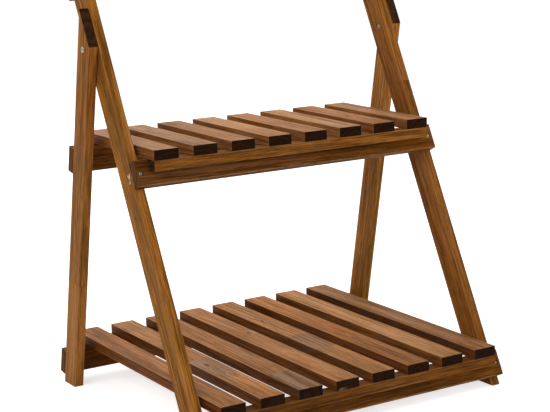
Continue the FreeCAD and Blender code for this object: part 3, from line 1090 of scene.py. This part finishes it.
@dataclass
class Pivot:
    """One side's pivot: a bolt from inside, a washer between the legs and a sleeve nut from outside."""

    side: Side
    hinge: np.ndarray
    bolt_body: str = "front_frame"
    nut_body: str = "rear_frame"

    def build(self) -> None:
        """Turns the bolt, washer and nut about the hinge's axis."""
        out = np.array([float(self.side.value), 0.0, 0.0])
        bolt, washer, nut = (f"pivot_{part}_{self.side.word}" for part in ("bolt", "washer", "nut"))

        def start(node: str) -> np.ndarray:
            """Where the node starts on the axis, counted outwards."""
            low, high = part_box(node)
            return np.array([low.x if self.side is Side.RIGHT else high.x, self.hinge[1], self.hinge[2]])

        rows = [(1.2, 0.4, 0), (1.2, 2.2, 1), (0.15, 2.3, 1), (0.0, 2.45, 0.8), (0.0, 3.7, 0), (0.12, 4.1, 0),
                (0.4, 4.4, 0), (0.8, 4.5, 0), (1.9, 4.5, 0), (2.0, 4.4, 0), (2.0, 3.0, 0), (2.2, 2.9, 0)]
        for place in np.arange(16.0, 31.6, 0.5):
            rows.append((place, 2.9 if round(place * 2) % 2 else 2.65, 0))
        rows += [(32.0, 2.6, 0), (32.5, 2.2, 0)]
        piece(turned(bolt + "_turned", start(bolt), out, rows), STEEL, self.bolt_body, [bolt])

        rows = [(0, 3.2, 0), (0, 8.7, 0), (0.2, 9.0, 0), (0.8, 9.0, 0), (1.0, 8.7, 0), (1.0, 3.2, 0)]
        piece(turned(washer + "_turned", start(washer), out, rows, joined=True), STEEL,
              self.washer_body(washer), [washer])

        rows = [(15.5, 0.5, 0), (15.5, 3.0, 0), (0.2, 3.05, 0), (0.0, 3.3, 0), (0.0, 3.8, 0), (0.3, 4.0, 0),
                (16.5, 4.0, 0), (16.5, 5.3, 0), (16.7, 5.5, 0), (17.3, 5.5, 0), (17.75, 5.2, 0), (18.0, 4.6, 0),
                (18.0, 3.05, 0.8), (17.85, 2.9, 1), (16.7, 2.8, 1), (16.7, 0.5, 0)]
        piece(turned(nut + "_turned", start(nut), out, rows), STEEL, self.nut_body, [nut])

    @staticmethod
    def washer_body(node: str) -> str:
        """The body that the washer rides on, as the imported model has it."""
        bodies = frame["record"]["behaviour"]["bodies"]
        return next(body for body, nodes in bodies.items() if node in nodes)


# ---------------------------------------------------------------- studio


@dataclass
class Studio:
    """A white sweep, soft lamps and the camera."""

    camera_at: tuple[float, float, float] = (-1.3878, -2.1895, 0.8552)
    camera_turn_deg: float = -32.291
    camera_tip_deg: float = 11.733
    camera_roll_deg: float = -1.202
    lens: float = 99.58
    dome: float = 0.54
    key_power: float = 112.0
    fill_power: float = 46.0
    back_power: float = 62.0
    floor_reach: float = 9.0
    floor_tone: float = 0.82
    floor_lift: float = 0.62

    def build(self) -> None:
        """Makes the camera, the world, the floor and the lamps."""
        self.make_camera()
        self.make_world()
        self.make_floor()
        self.make_lamp("key_lamp", (-4.2, -2.0, 3.6), 3.6, self.key_power)
        self.make_lamp("fill_lamp", (1.0, -4.5, 1.6), 3.0, self.fill_power)
        self.make_lamp("back_lamp", (0.2, 3.0, 2.3), 2.2, self.back_power)

    def make_camera(self) -> None:
        """Places the camera, turned about Z, tipped down and rolled."""
        data = bpy.data.cameras.new("camera")
        data.lens, data.sensor_width = self.lens, 36.0
        data.clip_start, data.clip_end = 0.05, 60.0
        camera = bpy.data.objects.new("camera", data)
        camera.matrix_world = (Matrix.Translation(self.camera_at)
                               @ Matrix.Rotation(math.radians(self.camera_turn_deg), 4, "Z")
                               @ Matrix.Rotation(math.radians(90 - self.camera_tip_deg), 4, "X")
                               @ Matrix.Rotation(math.radians(self.camera_roll_deg), 4, "Z"))
        bpy.context.scene.collection.objects.link(camera)
        bpy.context.scene.camera = camera

    def seen(self, tree: bpy.types.NodeTree) -> Socket:
        """1 for camera, glossy and transmission rays, and 0 for light that falls on the object.

        Args:
            tree: The material's or the world's nodes.

        Returns:
            The sum of the three kinds of ray, at most 1.
        """
        path = tree.nodes.new("ShaderNodeLightPath")
        total = path.outputs["Is Camera Ray"]
        for name in ("Is Glossy Ray", "Is Transmission Ray"):
            add = tree.nodes.new("ShaderNodeMath")
            add.operation, add.use_clamp = "ADD", True
            tree.links.new(total, add.inputs[0])
            tree.links.new(path.outputs[name], add.inputs[1])
            total = add.outputs[0]
        return total

    def make_world(self) -> None:
        """A dome that looks white and gives a plain soft light."""
        world = bpy.data.worlds.new("studio")
        bpy.context.scene.world = world
        world.use_nodes = True
        tree = world.node_tree
        tree.nodes.clear()
        light, white = tree.nodes.new("ShaderNodeBackground"), tree.nodes.new("ShaderNodeBackground")
        light.inputs["Color"].default_value = (0.97, 0.98, 1.0, 1.0)
        light.inputs["Strength"].default_value = self.dome
        white.inputs["Strength"].default_value = 1.0
        white.inputs["Color"].default_value = (1.0, 1.0, 1.0, 1.0)
        mix, out = tree.nodes.new("ShaderNodeMixShader"), tree.nodes.new("ShaderNodeOutputWorld")
        tree.links.new(self.seen(tree), mix.inputs[0])
        tree.links.new(light.outputs[0], mix.inputs[1])
        tree.links.new(white.outputs[0], mix.inputs[2])
        tree.links.new(mix.outputs[0], out.inputs[0])

    def make_floor(self) -> None:
        """A pale floor that keeps the shadow: matt white, lifted to white where the camera sees it."""
        reach = self.floor_reach
        mesh = bpy.data.meshes.new("floor")
        corners = [(-reach, -reach, 0), (reach, -reach, 0), (reach, reach, 0), (-reach, reach, 0)]
        mesh.from_pydata(corners, [], [(0, 1, 2, 3)])
        material = bpy.data.materials.new("floor_paint")
        material.use_nodes = True
        tree = material.node_tree
        tree.nodes.clear()
        matt, glow = tree.nodes.new("ShaderNodeBsdfDiffuse"), tree.nodes.new("ShaderNodeEmission")
        matt.inputs["Color"].default_value = (*(self.floor_tone,) * 3, 1.0)
        lift = tree.nodes.new("ShaderNodeMath")
        lift.operation = "MULTIPLY"
        lift.inputs[1].default_value = self.floor_lift
        tree.links.new(self.seen(tree), lift.inputs[0])
        tree.links.new(lift.outputs[0], glow.inputs["Strength"])
        both, out = tree.nodes.new("ShaderNodeAddShader"), tree.nodes.new("ShaderNodeOutputMaterial")
        tree.links.new(matt.outputs[0], both.inputs[0])
        tree.links.new(glow.outputs[0], both.inputs[1])
        tree.links.new(both.outputs[0], out.inputs["Surface"])
        mesh.materials.append(material)
        floor = bpy.data.objects.new("floor", mesh)
        bpy.context.scene.collection.objects.link(floor)

    def make_lamp(self, name: str, place: tuple[float, float, float], size: float, power: float) -> None:
        """Adds a square soft lamp aimed at the middle of the stand.

        Args:
            name: The lamp's name.
            place: Where it hangs.
            size: Its side in metres.
            power: Its power in watts.
        """
        data = bpy.data.lights.new(name, "AREA")
        data.size, data.energy = size, power
        lamp = bpy.data.objects.new(name, data)
        lamp.location = place
        lamp.rotation_euler = (Vector((0.0, 0.0, 0.35)) - Vector(place)).to_track_quat("-Z", "Y").to_euler()
        bpy.context.scene.collection.objects.link(lamp)


# ---------------------------------------------------------------- the stand


def front_frame() -> LegFrame:
    """The root frame: the long legs that lean back, with three front rails and one rear rail.

    Returns:
        The frame, ready to build.
    """
    return LegFrame(
        26.7, "front_frame",
        legs={"front_leg_left": (Stain.GOLDEN, 15, ()),
              "front_leg_right": (Stain.TOFFEE, 12, (FingerJoint(0.141, 0.2),))},
        rails={"bottom_front_cross_rail": (Stain.WALNUT, 21, 1.0), "middle_front_cross_rail": (Stain.CAROB, 22, 1.0),
               "top_front_cross_rail": (Stain.GOLDEN, 23, 1.0), "top_rear_cross_rail": (Stain.RUSSET, 24, -1.0)},
        screw_nodes={"front_rail_screws": [t.value + "_front_cross_rail" for t in Tier],
                     "top_rear_rail_screws": ["top_rear_cross_rail"]},
        scuffs={"front_leg_left": (Scuff((-0.299, -0.029, 0.408)), Scuff((-0.2985, -0.031, 0.398), 3 * MM))})


def rear_frame() -> LegFrame:
    """The folding frame: the short legs that lean forward, with two rear rails.

    Returns:
        The frame, ready to build.
    """
    return LegFrame(
        -11.1, "rear_frame",
        legs={"rear_leg_left": (Stain.AMBER, 31, (FingerJoint(-0.135, 0.03),)),
              "rear_leg_right": (Stain.RUSSET, 32, (FingerJoint(0.04, 0.07),))},
        rails={"bottom_rear_cross_rail": (Stain.WALNUT, 33, -1.0), "middle_rear_cross_rail": (Stain.TOFFEE, 34, -1.0)},
        screw_nodes={"rear_rail_screws": ["bottom_rear_cross_rail", "middle_rear_cross_rail"]})


def shelves() -> list[Shelf]:
    """The three shelves with their boards' stains, joints, knots and chips.

    Returns:
        The shelves from the floor up.
    """
    s = Stain
    return [
        Shelf(Tier.BOTTOM, (s.CHESTNUT, s.HONEY, s.BRIAR, s.HONEY, s.HONEY, s.CHESTNUT, s.TAWNY, s.UMBER),
              joints={2: (FingerJoint(-0.112, 0.0, 0.6), FingerJoint(-0.019, 0.03, -0.6)),
                      3: (FingerJoint(-0.16, -0.06, 0.55, near=True),),
                      5: (FingerJoint(-0.088, -0.17, 0.45), FingerJoint(0.002, 0.18, -0.45)),
                      6: (FingerJoint(-0.067, -0.05, near=True),)},
              knots={2: (Knot(-0.06, 0.004, 5 * MM), Knot(-0.13, -0.009, 3 * MM)), 4: (Knot(0.06, -0.008),),
                     5: (Knot(0.11, 0.004),)},
              chips={4: (Chip(-0.26, 0.014, -0.0085, 4 * MM), Chip(-0.26, -0.004, -0.0085, 3 * MM)),
                     5: (Chip(-0.26, -0.01, -0.0085, 3 * MM),)},
              rail_stains=(s.CAROB, s.WALNUT), seed=100),
        Shelf(Tier.MIDDLE, (s.HONEY, s.TAWNY, s.HONEY, s.TAWNY, s.HONEY, s.SAND, s.CHESTNUT, s.ASH_BROWN),
              joints={2: (FingerJoint(0.072, -0.07),), 5: (FingerJoint(-0.02, 0.05),)},
              knots={7: (Knot(-0.02, 0.004),)},
              rail_stains=(s.TOFFEE, s.CAROB), seed=200),
        Shelf(Tier.TOP, (s.HONEY, s.TAWNY, s.CHESTNUT, s.TAWNY, s.ASH_BROWN, s.HONEY, s.TAWNY, s.CHESTNUT),
              rail_stains=(s.TOFFEE, s.CAROB), seed=300),
    ]


def main() -> None:
    """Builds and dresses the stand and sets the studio."""
    logging.basicConfig(level=logging.INFO, format="%(name)s %(message)s")
    bpy.context.scene.view_settings.view_transform = "Standard"
    Studio().build()
    for part in (front_frame(), rear_frame(), *shelves()):
        part.build()
        part.dress()
    hinge = np.array(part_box("pivot_bolt_left")).mean(0)
    for side in Side:
        Pivot(side, hinge).build()


if __name__ == "__main__":
    main()
